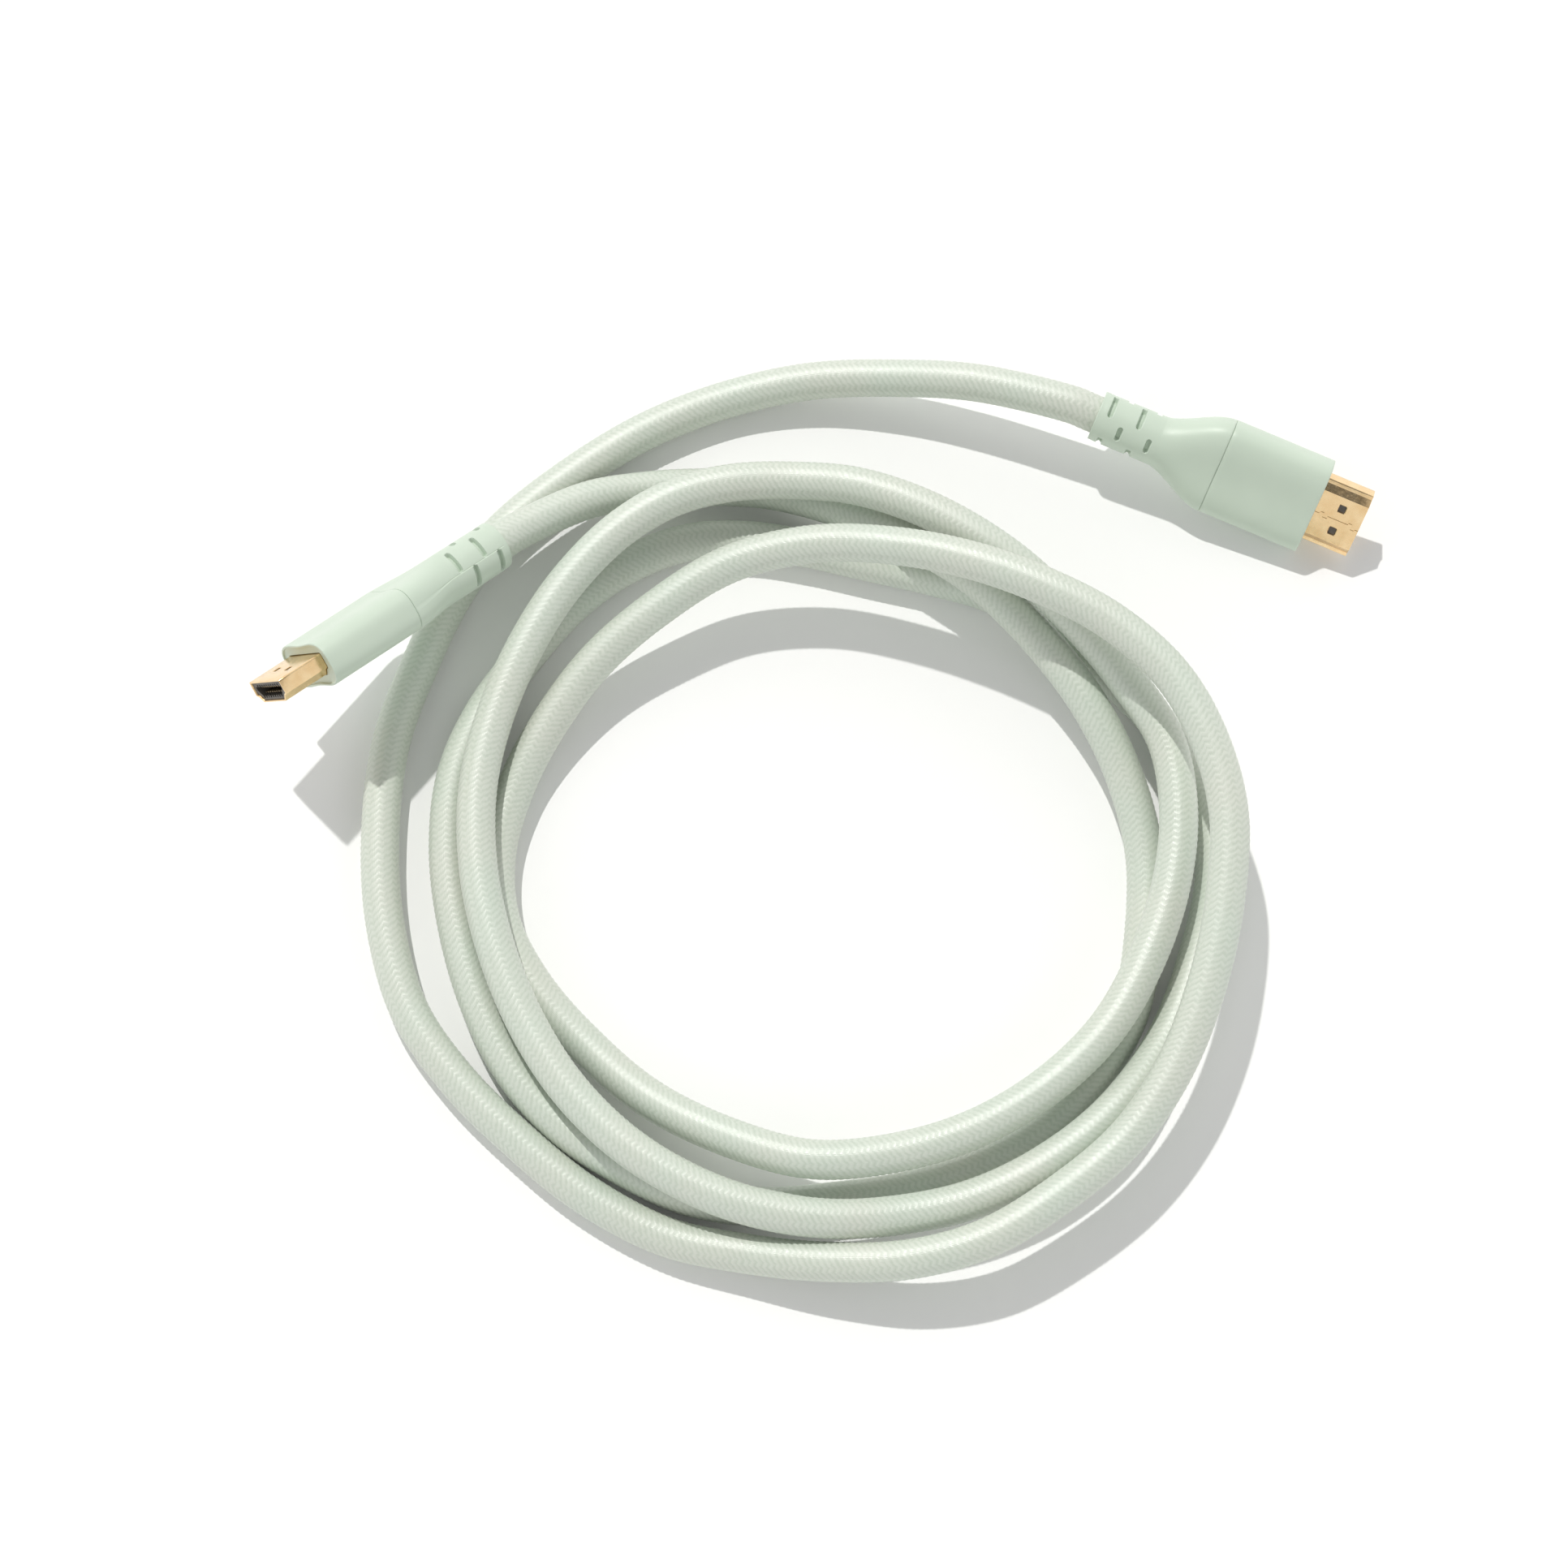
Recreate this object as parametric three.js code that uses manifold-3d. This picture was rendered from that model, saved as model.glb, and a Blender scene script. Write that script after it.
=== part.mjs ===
// A braided audio-video lead with a rectangular 19-contact plug on each end,
// lying in loose turns on a level floor. Millimetres, +Z up.
import * as THREE from 'three';
import { mergeVertices } from 'three/addons/utils/BufferGeometryUtils.js';
import Module from 'manifold-3d';

const wasm = await Module();
wasm.setup();

// Clearance kept between pieces that touch on the real lead
const GAP = 0.3;

// Metal plug shell: a flat box with two corners cut off at 45 degrees
const SHELL_WIDTH = 13.9;
const SHELL_HEIGHT = 4.45;
const SHELL_CHAMFER = 2.05;
const SHELL_WALL = 0.35;
const SHELL_EXPOSED = 9.4;
const SHELL_HIDDEN = 3;
const LATCH_HOLE = 1.6;
const LATCH_SPACING = 5;
const LATCH_SETBACK = 4.6;

// Black insulator and its two rows of contacts
const SLOT_WALL = 0.6;
const SLOT_DEPTH = 7;
const INSULATOR_SETBACK = 0.3;
const CONTACT_WIDTH = 0.5;
const CONTACT_THICKNESS = 0.25;
const CONTACT_LENGTH = 6;
const CONTACT_ROW_MARGIN = 0.432;
const WIDE_ROW_CONTACTS = 10;
const NARROW_ROW_CONTACTS = 9;

// Hood: the waisted grip at the front
const HOOD_LENGTH = 20.5;
const HOOD_WIDTH = 19.5;
const HOOD_HEIGHT = 10.5;
const HOOD_DISH = 0.9;
const HOOD_SQUARENESS = 2.9;

// Body: a slotted strain relief that swells to the hood's outline
const BODY_LENGTH = 25.5;
const BOOT_LENGTH = 12.9;
const BOOT_END_DIAMETER = 9.8;
const BOOT_ROOT_DIAMETER = 9.95;
const BORE_DEPTH = 3;
const RELIEF_RINGS = 4;
const RELIEF_FIRST_RING = 2.3;
const RELIEF_RING_PITCH = 3;
const RELIEF_SLOT_WIDTH = 0.95;
const RELIEF_SLOT_DEPTH = 1.15;
// One ring's slots, in degrees from the plug's side towards its narrow face; every other ring is
// turned half way round
const RELIEF_SLOTS = [{ middle: 31, arc: 60 }, { middle: 149, arc: 60 }, { middle: 270, arc: 34 }];

// Cable
const CABLE_DIAMETER = 7.3;
const CABLE_SIDES = 8;
const CABLE_STEPS = 84;
const LEAD_OUT = [2, 5];

// Facets of the moulded pieces, and how far the swell's side has grown at the boot's root, as a share
const MOULDED_SIDES = 32;
const SWELL_STATIONS = 7;
const SWELL_HEAD_START = 0.12;

// How far a cutter runs past the face that it opens
const CUT_PAST = 1;

// The frame's origin, measured from the middle of the turns
const FRAME_X = 7.161;
const FRAME_Y = 41.415;

// Each plug: where its boot ends, and how it lies (degrees)
const PLUG_A = { name: 'plug_a', at: [61.1, 71.6, 12.1], yaw: -22.7, pitch: 4.4, roll: 46 };
const PLUG_B = { name: 'plug_b', at: [-55.6, 44.4, 12.4], yaw: 220.9, pitch: -16, roll: -121.4 };

// The cable's route from plug A to plug B, turn by turn, chosen by eye
const ROUTE = [
  [38, 78.9, 10.8], [23, 81.1, 8], [5.5, 81.5, 5.6], [-10.5, 78.5, 4], [-26.5, 72, 3.8],
  [-42.5, 61.5, 3.8], [-55.5, 50, 3.8], [-63.5, 38.5, 3.8], [-70, 24, 3.8], [-75.5, 7, 3.8],
  [-77, -11.5, 3.8], [-75.5, -29, 3.8], [-70.5, -45.5, 3.8], [-61.5, -58.5, 3.8], [-50.5, -69.5, 3.8],
  [-37, -80.5, 3.8], [-22, -88.5, 4], [-7, -92, 5.5], [8, -94, 8.5], [23, -94, 11.4],
  [37, -90.5, 13.4], [50.5, -82.5, 14.5], [63, -72, 15.5], [72, -59, 17.5], [78, -44, 20],
  [81.5, -28.5, 22], [82.5, -12.5, 23.5], [79, 2, 24.5], [72.5, 14, 25], [62, 24, 25.2], [50, 31, 25],
  [36, 37, 23.5], [21, 41, 21], [5.5, 42.5, 18], [-10.5, 39.5, 15], [-24.5, 31.5, 12], [-36, 22, 9],
  [-45.5, 9.5, 6], [-51.5, -2.5, 4.2], [-54.7, -15.5, 3.8], [-53.5, -28.5, 3.8], [-47, -41, 3.8],
  [-37, -52.5, 4.2], [-25, -63, 6], [-10, -71, 9], [5, -75.5, 11.3], [20, -74.5, 11.8],
  [35, -70, 11.8], [48.5, -62, 11.8], [59.5, -51.5, 12], [67, -39, 12], [72.5, -24, 12],
  [74.5, -9, 12], [72.5, 5, 12], [65.5, 16.5, 12.8], [56.5, 27.5, 14.5], [43.5, 39.5, 17.4],
  [29, 49, 17.6], [14.5, 55, 16.2], [2, 57, 14.2], [-10.5, 56.5, 14.2], [-21.5, 53.5, 14],
  [-32, 47, 13.4], [-41.5, 37, 12.6], [-49, 25, 11.8], [-55, 10.5, 11], [-58, -4, 10.8],
  [-57.5, -20, 10.8], [-54, -35, 10.8], [-48, -49.5, 10.8], [-40, -62, 11], [-29.5, -72.5, 11.4],
  [-17.5, -80, 11.6], [-5.5, -84.5, 11.6], [8, -86.5, 11], [21.5, -85.5, 9.6], [35, -82.5, 9.6],
  [48.5, -76, 10], [61, -66, 9.2], [71.5, -51.5, 5.5], [78, -35.5, 3.8], [81.8, -19, 3.8],
  [80.5, -5, 3.8], [75, 7, 3.8], [65.5, 18.5, 3.8], [54, 29, 3.8], [41.5, 37, 3.8], [29, 41, 3.8],
  [16.5, 44, 3.8], [4, 47, 3.8], [-7.5, 48.8, 3.8], [-18.5, 48.2, 3.8], [-29.5, 44, 3.8],
  [-40.5, 36, 3.8], [-50.5, 24, 3.8], [-58.5, 12, 3.8], [-63, 0, 3.8], [-64, -14.5, 3.8],
  [-62, -29, 3.8], [-57.5, -44, 3.8], [-50.5, -57.5, 3.8], [-41, -68, 3.8], [-29.5, -75.5, 3.8],
  [-17.5, -81, 3.8], [-4, -83, 3.8], [9.5, -82, 3.8], [23, -80, 3.8], [37, -75.5, 3.8],
  [49, -68.5, 3.8], [58.5, -58, 4], [65, -46, 3.8], [68, -31, 3.8], [68.5, -15, 4.5], [65, -0.5, 6.5],
  [59, 12, 9], [51, 23.5, 10.2], [38.5, 36.5, 11.8], [25, 46, 11], [11, 54, 7], [-2.5, 58.5, 5],
  [-15.5, 59.5, 4.5], [-28, 58.2, 5.8], [-38.5, 55.3, 8],
];

const moulded = new THREE.MeshStandardMaterial({ color: '#cfdfd0', roughness: 0.45, metalness: 0 });
const woven = new THREE.MeshStandardMaterial({ color: '#dce5d8', roughness: 0.75, metalness: 0 });
const gold = new THREE.MeshStandardMaterial({ color: '#dcb06c', roughness: 0.25, metalness: 1 });
const black = new THREE.MeshStandardMaterial({ color: '#2b2a2c', roughness: 0.4, metalness: 0 });

const TIP = BODY_LENGTH + HOOD_LENGTH + SHELL_EXPOSED;
const HOOD_FRONT = BODY_LENGTH + HOOD_LENGTH;
const SHELL_BACK = HOOD_FRONT - SHELL_HIDDEN;

// Keeps positions only, with shared vertices merged
function weld(geometry) {
  geometry.deleteAttribute('normal');
  geometry.deleteAttribute('uv');
  return mergeVertices(geometry);
}

function toSolid(geometry) {
  const welded = weld(geometry);
  return new wasm.Manifold(new wasm.Mesh({
    numProp: 3,
    vertProperties: new Float32Array(welded.attributes.position.array),
    triVerts: new Uint32Array(welded.index.array),
  }));
}

function toGeometry(solid) {
  const { vertProperties, triVerts } = solid.getMesh();
  const geometry = new THREE.BufferGeometry();
  geometry.setAttribute('position', new THREE.BufferAttribute(vertProperties, 3));
  geometry.setIndex(new THREE.BufferAttribute(triVerts, 1));
  return geometry;
}

function cut(body, ...tools) {
  return toGeometry(tools.reduce((solid, tool) => solid.subtract(toSolid(tool)), toSolid(body)));
}

// Extrudes an outline, drawn as width and height, along the plug from one station to another
function alongPlug(shape, from, to) {
  const geometry = new THREE.ExtrudeGeometry(
    shape, { depth: to - from, bevelEnabled: false, curveSegments: 8 });
  const basis = new THREE.Matrix4().makeBasis(
    new THREE.Vector3(0, 1, 0), new THREE.Vector3(0, 0, 1), new THREE.Vector3(1, 0, 0));
  return geometry.applyMatrix4(basis).translate(from, 0, 0);
}

// Width plus height along the shell's cut corner, moved inwards by inset
function shellSlope(inset) {
  return SHELL_WIDTH / 2 + SHELL_HEIGHT / 2 - SHELL_CHAMFER - inset * Math.SQRT2;
}

// The shell's outline, moved inwards by inset; its narrow face is up
function shellOutline(inset) {
  const halfWidth = SHELL_WIDTH / 2 - inset;
  const halfHeight = SHELL_HEIGHT / 2 - inset;
  const slope = shellSlope(inset);
  return new THREE.Shape([
    new THREE.Vector2(-halfWidth, -halfHeight),
    new THREE.Vector2(halfWidth, -halfHeight),
    new THREE.Vector2(halfWidth, slope - halfWidth),
    new THREE.Vector2(slope - halfHeight, halfHeight),
    new THREE.Vector2(halfHeight - slope, halfHeight),
    new THREE.Vector2(-halfWidth, slope - halfWidth),
  ]);
}

// Skins closed sections, each { at, halfWidth, halfHeight, squareness, dish }, along the plug
function loft(sections) {
  const last = sections.length - 1;
  const geometry = new THREE.CylinderGeometry(1, 1, 1, MOULDED_SIDES, last);
  const position = geometry.attributes.position;
  for (let i = 0; i < position.count; i += 1) {
    const section = sections[Math.round((0.5 - position.getY(i)) * last)];
    const reach = Math.hypot(position.getX(i), position.getZ(i));
    const across = bulge(position.getX(i), section.squareness);
    const dish = section.dish * Math.cos(across * Math.PI / 2) ** 2;
    const up = bulge(position.getZ(i), section.squareness) * (section.halfHeight - dish);
    const inside = reach > 0.5 ? 1 : 0;
    position.setXYZ(i, section.at, inside * across * section.halfWidth, inside * up);
  }
  return geometry;
}

// Turns a cosine or sine into the coordinate of a rounded box of the given squareness
function bulge(value, squareness) {
  return Math.sign(value) * Math.abs(value) ** (2 / squareness);
}

function shell() {
  const tube = alongPlug(shellOutline(0), SHELL_BACK, TIP);
  const inside = alongPlug(shellOutline(SHELL_WALL), SHELL_BACK - CUT_PAST, TIP + CUT_PAST);
  const holes = [-1, 1].map((side) => new THREE.BoxGeometry(LATCH_HOLE, LATCH_HOLE, SHELL_HEIGHT * 2)
    .translate(TIP - LATCH_SETBACK, side * LATCH_SPACING / 2, 0));
  return cut(tube, inside, ...holes);
}

function slotInset() {
  return SHELL_WALL + GAP + SLOT_WALL;
}

function insulator() {
  const front = TIP - INSULATOR_SETBACK;
  const block = alongPlug(shellOutline(SHELL_WALL + GAP), SHELL_BACK, front);
  const slot = alongPlug(shellOutline(slotInset()), front - SLOT_DEPTH, front + CUT_PAST);
  return cut(block, slot);
}

// The narrow row fills the slot's narrow side, and the wide row has the same pitch
function contactPitch() {
  const rowTop = SHELL_HEIGHT / 2 - slotInset() - GAP;
  const halfRow = shellSlope(slotInset()) - rowTop - CONTACT_ROW_MARGIN;
  return (2 * halfRow - CONTACT_WIDTH) / (NARROW_ROW_CONTACTS - 1);
}

// One blade, lying just off the slot's wide or narrow wall
function contact(side, index, count) {
  const slotHalfHeight = SHELL_HEIGHT / 2 - slotInset();
  const height = side * (slotHalfHeight - GAP - CONTACT_THICKNESS / 2);
  const across = (index - (count - 1) / 2) * contactPitch();
  const back = TIP - INSULATOR_SETBACK - SLOT_DEPTH + GAP;
  return new THREE.BoxGeometry(CONTACT_LENGTH, CONTACT_WIDTH, CONTACT_THICKNESS)
    .translate(back + CONTACT_LENGTH / 2, across, height);
}

function hoodSection(at) {
  return {
    at,
    halfWidth: HOOD_WIDTH / 2,
    halfHeight: HOOD_HEIGHT / 2,
    squareness: HOOD_SQUARENESS,
    dish: HOOD_DISH,
  };
}

function hood() {
  const grip = loft([hoodSection(BODY_LENGTH + GAP), hoodSection(HOOD_FRONT)]);
  const pocket = alongPlug(shellOutline(-GAP), SHELL_BACK - GAP, HOOD_FRONT + CUT_PAST);
  return cut(grip, pocket);
}

function bootRadius(at) {
  return THREE.MathUtils.mapLinear(at, 0, BOOT_LENGTH, BOOT_END_DIAMETER / 2, BOOT_ROOT_DIAMETER / 2);
}

// Sections from the round boot to the hood's outline
function bodySections() {
  const end = hoodSection(BODY_LENGTH);
  const sections = [{ at: 0, halfWidth: bootRadius(0), halfHeight: bootRadius(0), squareness: 2, dish: 0 }];
  for (let i = 0; i <= SWELL_STATIONS; i += 1) {
    const share = i / SWELL_STATIONS;
    const swell = THREE.MathUtils.smoothstep(share, -SWELL_HEAD_START, 1);
    const blend = THREE.MathUtils.smoothstep(share, 0, 1);
    const root = bootRadius(BOOT_LENGTH);
    sections.push({
      at: THREE.MathUtils.lerp(BOOT_LENGTH, BODY_LENGTH, share),
      halfWidth: THREE.MathUtils.lerp(root, end.halfWidth, i === 0 ? 0 : swell),
      halfHeight: THREE.MathUtils.lerp(root, end.halfHeight, blend),
      squareness: THREE.MathUtils.lerp(2, end.squareness, blend),
      dish: end.dish * blend,
    });
  }
  return sections;
}

function reliefSlot(ring, { middle, arc }) {
  const at = RELIEF_FIRST_RING + ring * RELIEF_RING_PITCH;
  const turned = ring % 2 === 0 ? middle : middle + 180;
  const [start, end] = [turned - arc / 2, turned + arc / 2].map(THREE.MathUtils.degToRad);
  const floor = bootRadius(at) - RELIEF_SLOT_DEPTH;
  const shape = new THREE.Shape();
  shape.absarc(0, 0, BOOT_ROOT_DIAMETER, start, end, false);
  shape.absarc(0, 0, floor, end, start, true);
  shape.closePath();
  return alongPlug(shape, at - RELIEF_SLOT_WIDTH / 2, at + RELIEF_SLOT_WIDTH / 2);
}

function cableBore() {
  return new THREE.CylinderGeometry(
    CABLE_DIAMETER / 2 + GAP, CABLE_DIAMETER / 2 + GAP, BORE_DEPTH * 2, MOULDED_SIDES)
    .rotateZ(Math.PI / 2);
}

function body() {
  const slots = [];
  for (let ring = 0; ring < RELIEF_RINGS; ring += 1) {
    slots.push(...RELIEF_SLOTS.map((slot) => reliefSlot(ring, slot)));
  }
  return cut(loft(bodySections()), cableBore(), ...slots);
}

function piece(name, geometry, material) {
  const mesh = new THREE.Mesh(geometry, material);
  mesh.name = name;
  return mesh;
}

function contactRow(plugName, row, side, count) {
  return Array.from({ length: count }, (_, index) => piece(
    `${plugName}_contact_${row}_${index + 1}`, contact(side, index, count), gold));
}

function plug({ name, at, yaw, pitch, roll }) {
  const group = new THREE.Group();
  group.add(
    piece(`${name}_body`, body(), moulded),
    piece(`${name}_hood`, hood(), moulded),
    piece(`${name}_shell`, shell(), gold),
    piece(`${name}_insulator`, insulator(), black),
    ...contactRow(name, 'wide', -1, WIDE_ROW_CONTACTS),
    ...contactRow(name, 'narrow', 1, NARROW_ROW_CONTACTS),
  );
  group.position.set(at[0] - FRAME_X, at[1] - FRAME_Y, at[2]);
  const [rollTurn, pitchTurn, yawTurn] = [roll, pitch, yaw].map(THREE.MathUtils.degToRad);
  group.rotation.set(rollTurn, pitchTurn, yawTurn, 'ZYX');
  group.updateMatrixWorld(true);
  return group;
}

// The cable runs straight out of one boot, along the route and straight into the other boot
function cable(plugA, plugB) {
  const stations = [BORE_DEPTH - GAP, ...LEAD_OUT.map((distance) => -distance)];
  const onAxis = (plugGroup) => stations.map((at) => plugGroup.localToWorld(new THREE.Vector3(at, 0, 0)));
  const path = new THREE.CatmullRomCurve3([
    ...onAxis(plugA),
    ...ROUTE.map(([x, y, z]) => new THREE.Vector3(x - FRAME_X, y - FRAME_Y, z)),
    ...onAxis(plugB).reverse(),
  ]);
  path.arcLengthDivisions = ROUTE.length * 20;
  const section = new THREE.Shape(Array.from({ length: CABLE_SIDES }, (_, i) => {
    const angle = (i + 0.5) * 2 * Math.PI / CABLE_SIDES;
    return new THREE.Vector2(Math.cos(angle), Math.sin(angle)).multiplyScalar(CABLE_DIAMETER / 2);
  }));
  return weld(new THREE.ExtrudeGeometry(section, { steps: CABLE_STEPS, extrudePath: path }));
}

const plugA = plug(PLUG_A);
const plugB = plug(PLUG_B);
const lead = new THREE.Group();
lead.add(piece('cable', cable(plugA, plugB), woven), plugA, plugB);

export default lead;
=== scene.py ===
"""Looks of a woven audio-video lead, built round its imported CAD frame.

Plug pieces are made in plug coordinates, in millimetres: +X from the boot's end to the tip,
+Y across the width, +Z through the narrow face. They are then put where the CAD plug is.
"""

import math

import bmesh
import bpy
import numpy as np
from mathutils import Matrix, Vector
from mathutils.geometry import tessellate_polygon


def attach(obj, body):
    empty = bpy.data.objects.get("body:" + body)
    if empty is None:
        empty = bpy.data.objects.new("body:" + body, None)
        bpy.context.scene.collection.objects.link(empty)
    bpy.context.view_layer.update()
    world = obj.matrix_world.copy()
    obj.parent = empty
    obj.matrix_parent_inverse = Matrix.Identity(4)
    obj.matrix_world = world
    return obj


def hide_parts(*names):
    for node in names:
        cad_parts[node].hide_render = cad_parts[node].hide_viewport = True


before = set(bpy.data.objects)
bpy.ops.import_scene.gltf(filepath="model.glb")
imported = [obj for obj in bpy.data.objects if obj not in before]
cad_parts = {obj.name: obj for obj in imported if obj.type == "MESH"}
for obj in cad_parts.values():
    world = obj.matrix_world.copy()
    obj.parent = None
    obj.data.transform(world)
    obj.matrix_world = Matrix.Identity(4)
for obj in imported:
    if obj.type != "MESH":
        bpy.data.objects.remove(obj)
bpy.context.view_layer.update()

MM = 0.001

# The frame's origin, measured from the middle of the turns (mm)
FRAME_SHIFT = np.array([7.161, 41.415, 0.0])

# Each plug: where its boot ends (mm), and how it lies (degrees)
PLUGS = {
    "plug_a": {"at": (61.1, 71.6, 12.1), "yaw": -22.7, "pitch": 4.4, "roll": 46},
    "plug_b": {"at": (-55.6, 44.4, 12.4), "yaw": 220.9, "pitch": -16, "roll": -121.4},
}

# The cable's route from plug A to plug B, turn by turn (mm)
ROUTE = [
    (38, 78.9, 10.8), (23, 81.1, 8), (5.5, 81.5, 5.6), (-10.5, 78.5, 4), (-26.5, 72, 3.8),
    (-42.5, 61.5, 3.8), (-55.5, 50, 3.8), (-63.5, 38.5, 3.8), (-70, 24, 3.8), (-75.5, 7, 3.8),
    (-77, -11.5, 3.8), (-75.5, -29, 3.8), (-70.5, -45.5, 3.8), (-61.5, -58.5, 3.8),
    (-50.5, -69.5, 3.8), (-37, -80.5, 3.8), (-22, -88.5, 4), (-7, -92, 5.5), (8, -94, 8.5),
    (23, -94, 11.4), (37, -90.5, 13.4), (50.5, -82.5, 14.5), (63, -72, 15.5), (72, -59, 17.5),
    (78, -44, 20), (81.5, -28.5, 22), (82.5, -12.5, 23.5), (79, 2, 24.5), (72.5, 14, 25),
    (62, 24, 25.2), (50, 31, 25), (36, 37, 23.5), (21, 41, 21), (5.5, 42.5, 18), (-10.5, 39.5, 15),
    (-24.5, 31.5, 12), (-36, 22, 9), (-45.5, 9.5, 6), (-51.5, -2.5, 4.2), (-54.7, -15.5, 3.8),
    (-53.5, -28.5, 3.8), (-47, -41, 3.8), (-37, -52.5, 4.2), (-25, -63, 6), (-10, -71, 9),
    (5, -75.5, 11.3), (20, -74.5, 11.8), (35, -70, 11.8), (48.5, -62, 11.8), (59.5, -51.5, 12),
    (67, -39, 12), (72.5, -24, 12), (74.5, -9, 12), (72.5, 5, 12), (65.5, 16.5, 12.8),
    (56.5, 27.5, 14.5), (43.5, 39.5, 17.4), (29, 49, 17.6), (14.5, 55, 16.2), (2, 57, 14.2),
    (-10.5, 56.5, 14.2), (-21.5, 53.5, 14), (-32, 47, 13.4), (-41.5, 37, 12.6), (-49, 25, 11.8),
    (-55, 10.5, 11), (-58, -4, 10.8), (-57.5, -20, 10.8), (-54, -35, 10.8), (-48, -49.5, 10.8),
    (-40, -62, 11), (-29.5, -72.5, 11.4), (-17.5, -80, 11.6), (-5.5, -84.5, 11.6), (8, -86.5, 11),
    (21.5, -85.5, 9.6), (35, -82.5, 9.6), (48.5, -76, 10), (61, -66, 9.2), (71.5, -51.5, 5.5),
    (78, -35.5, 3.8), (81.8, -19, 3.8), (80.5, -5, 3.8), (75, 7, 3.8), (65.5, 18.5, 3.8),
    (54, 29, 3.8), (41.5, 37, 3.8), (29, 41, 3.8), (16.5, 44, 3.8), (4, 47, 3.8), (-7.5, 48.8, 3.8),
    (-18.5, 48.2, 3.8), (-29.5, 44, 3.8), (-40.5, 36, 3.8), (-50.5, 24, 3.8), (-58.5, 12, 3.8),
    (-63, 0, 3.8), (-64, -14.5, 3.8), (-62, -29, 3.8), (-57.5, -44, 3.8), (-50.5, -57.5, 3.8),
    (-41, -68, 3.8), (-29.5, -75.5, 3.8), (-17.5, -81, 3.8), (-4, -83, 3.8), (9.5, -82, 3.8),
    (23, -80, 3.8), (37, -75.5, 3.8), (49, -68.5, 3.8), (58.5, -58, 4), (65, -46, 3.8), (68, -31, 3.8),
    (68.5, -15, 4.5), (65, -0.5, 6.5), (59, 12, 9), (51, 23.5, 10.2), (38.5, 36.5, 11.8), (25, 46, 11),
    (11, 54, 7), (-2.5, 58.5, 5), (-15.5, 59.5, 4.5), (-28, 58.2, 5.8), (-38.5, 55.3, 8),
]

# Where the cable's line passes the boot's end, along each plug's axis (mm)
CABLE_STATIONS = [2.7, -2, -5]
CABLE_DIAMETER = 7.3


def turn(degrees, axis):
    return np.array(Matrix.Rotation(math.radians(degrees), 3, axis))


def plug_turn(plug):
    return turn(plug["yaw"], "Z") @ turn(plug["pitch"], "Y") @ turn(plug["roll"], "X")


def in_frame(points, plug):
    """Plug coordinates in millimetres to the row frame in metres."""
    world = np.asarray(points, float) @ plug_turn(plug).T + np.array(plug["at"]) - FRAME_SHIFT
    return world * MM


# Camera: almost straight down, square image
VIEW_ELEVATION = math.radians(73)
VIEW_DISTANCE = 0.713
LENS = 85
target = Vector(-FRAME_SHIFT * MM)
eye = target + VIEW_DISTANCE * Vector((0, -math.cos(VIEW_ELEVATION), math.sin(VIEW_ELEVATION)))
camera = bpy.data.objects.new("camera", bpy.data.cameras.new("camera"))
bpy.context.scene.collection.objects.link(camera)
camera.data.lens = LENS
camera.data.sensor_width = 36
camera.data.sensor_fit = "HORIZONTAL"
camera.data.clip_start = 0.01
camera.location = eye
camera.rotation_euler = (target - eye).to_track_quat("-Z", "Y").to_euler()
bpy.context.scene.camera = camera


# Meshes

def new_piece(name, vertices, faces, material, replaced, sharp):
    mesh = bpy.data.meshes.new(name)
    mesh.from_pydata(np.asarray(vertices).tolist(), [], faces)
    mesh.update()
    piece = bpy.data.objects.new(name, mesh)
    bpy.context.scene.collection.objects.link(piece)
    finish_piece(piece, material, replaced, sharp)
    return piece


def finish_piece(piece, material, replaced, sharp):
    work = bmesh.new()
    work.from_mesh(piece.data)
    bmesh.ops.recalc_face_normals(work, faces=work.faces)
    work.to_mesh(piece.data)
    work.free()
    piece.data.materials.clear()
    piece.data.materials.append(material)
    piece.data.shade_smooth()
    if sharp:
        piece.data.set_sharp_from_angle(angle=math.radians(sharp))
    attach(piece, "root")
    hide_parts(*replaced)


def ring_faces(rings, sides, cap_start=True, cap_end=True):
    """Quads between closed rings of equal size, with a flat cap at either end."""
    faces = []
    for ring in range(rings - 1):
        low = ring * sides
        for i in range(sides):
            j = (i + 1) % sides
            faces.append((low + i, low + j, low + sides + j, low + sides + i))
    if cap_start:
        faces.append(tuple(range(sides)))
    if cap_end:
        last = (rings - 1) * sides
        faces.append(tuple(last + i for i in range(sides)))
    return faces


def smooth(value, low, high):
    share = np.clip((np.asarray(value, float) - low) / (high - low), 0, 1)
    return share * share * (3 - 2 * share)


# Materials: colours in pairs, mixed by noise; noise scales are per metre, bump distances in metres

MINT = ((0.560, 0.655, 0.548, 1), (0.588, 0.682, 0.573, 1))
GOLD = ((0.88, 0.62, 0.33, 1), (0.96, 0.73, 0.43, 1))
# Gold for the contacts, darkened by painted shade for the shade inside the socket
SHADE_DARKENED_GOLD = ((0.20, 0.15, 0.09, 1), (0.34, 0.25, 0.14, 1))
CHARCOAL = ((0.088, 0.078, 0.068, 1), (0.120, 0.105, 0.090, 1))
# Sleeve colours: a lit copy for the ridges and a copy darkened by painted shade for the valleys between
# them
LIT_RIDGE = ((0.650, 0.682, 0.602, 1), (0.618, 0.684, 0.598, 1))
SHADED_VALLEY = ((0.565, 0.612, 0.522, 1), (0.535, 0.612, 0.517, 1))
PAPER = ((0.968, 0.968, 0.966, 1), (0.978, 0.978, 0.976, 1))

# Fine filaments across one ridge, as radians for one row of the weave
FILAMENTS = 2 * math.pi * 5


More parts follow.
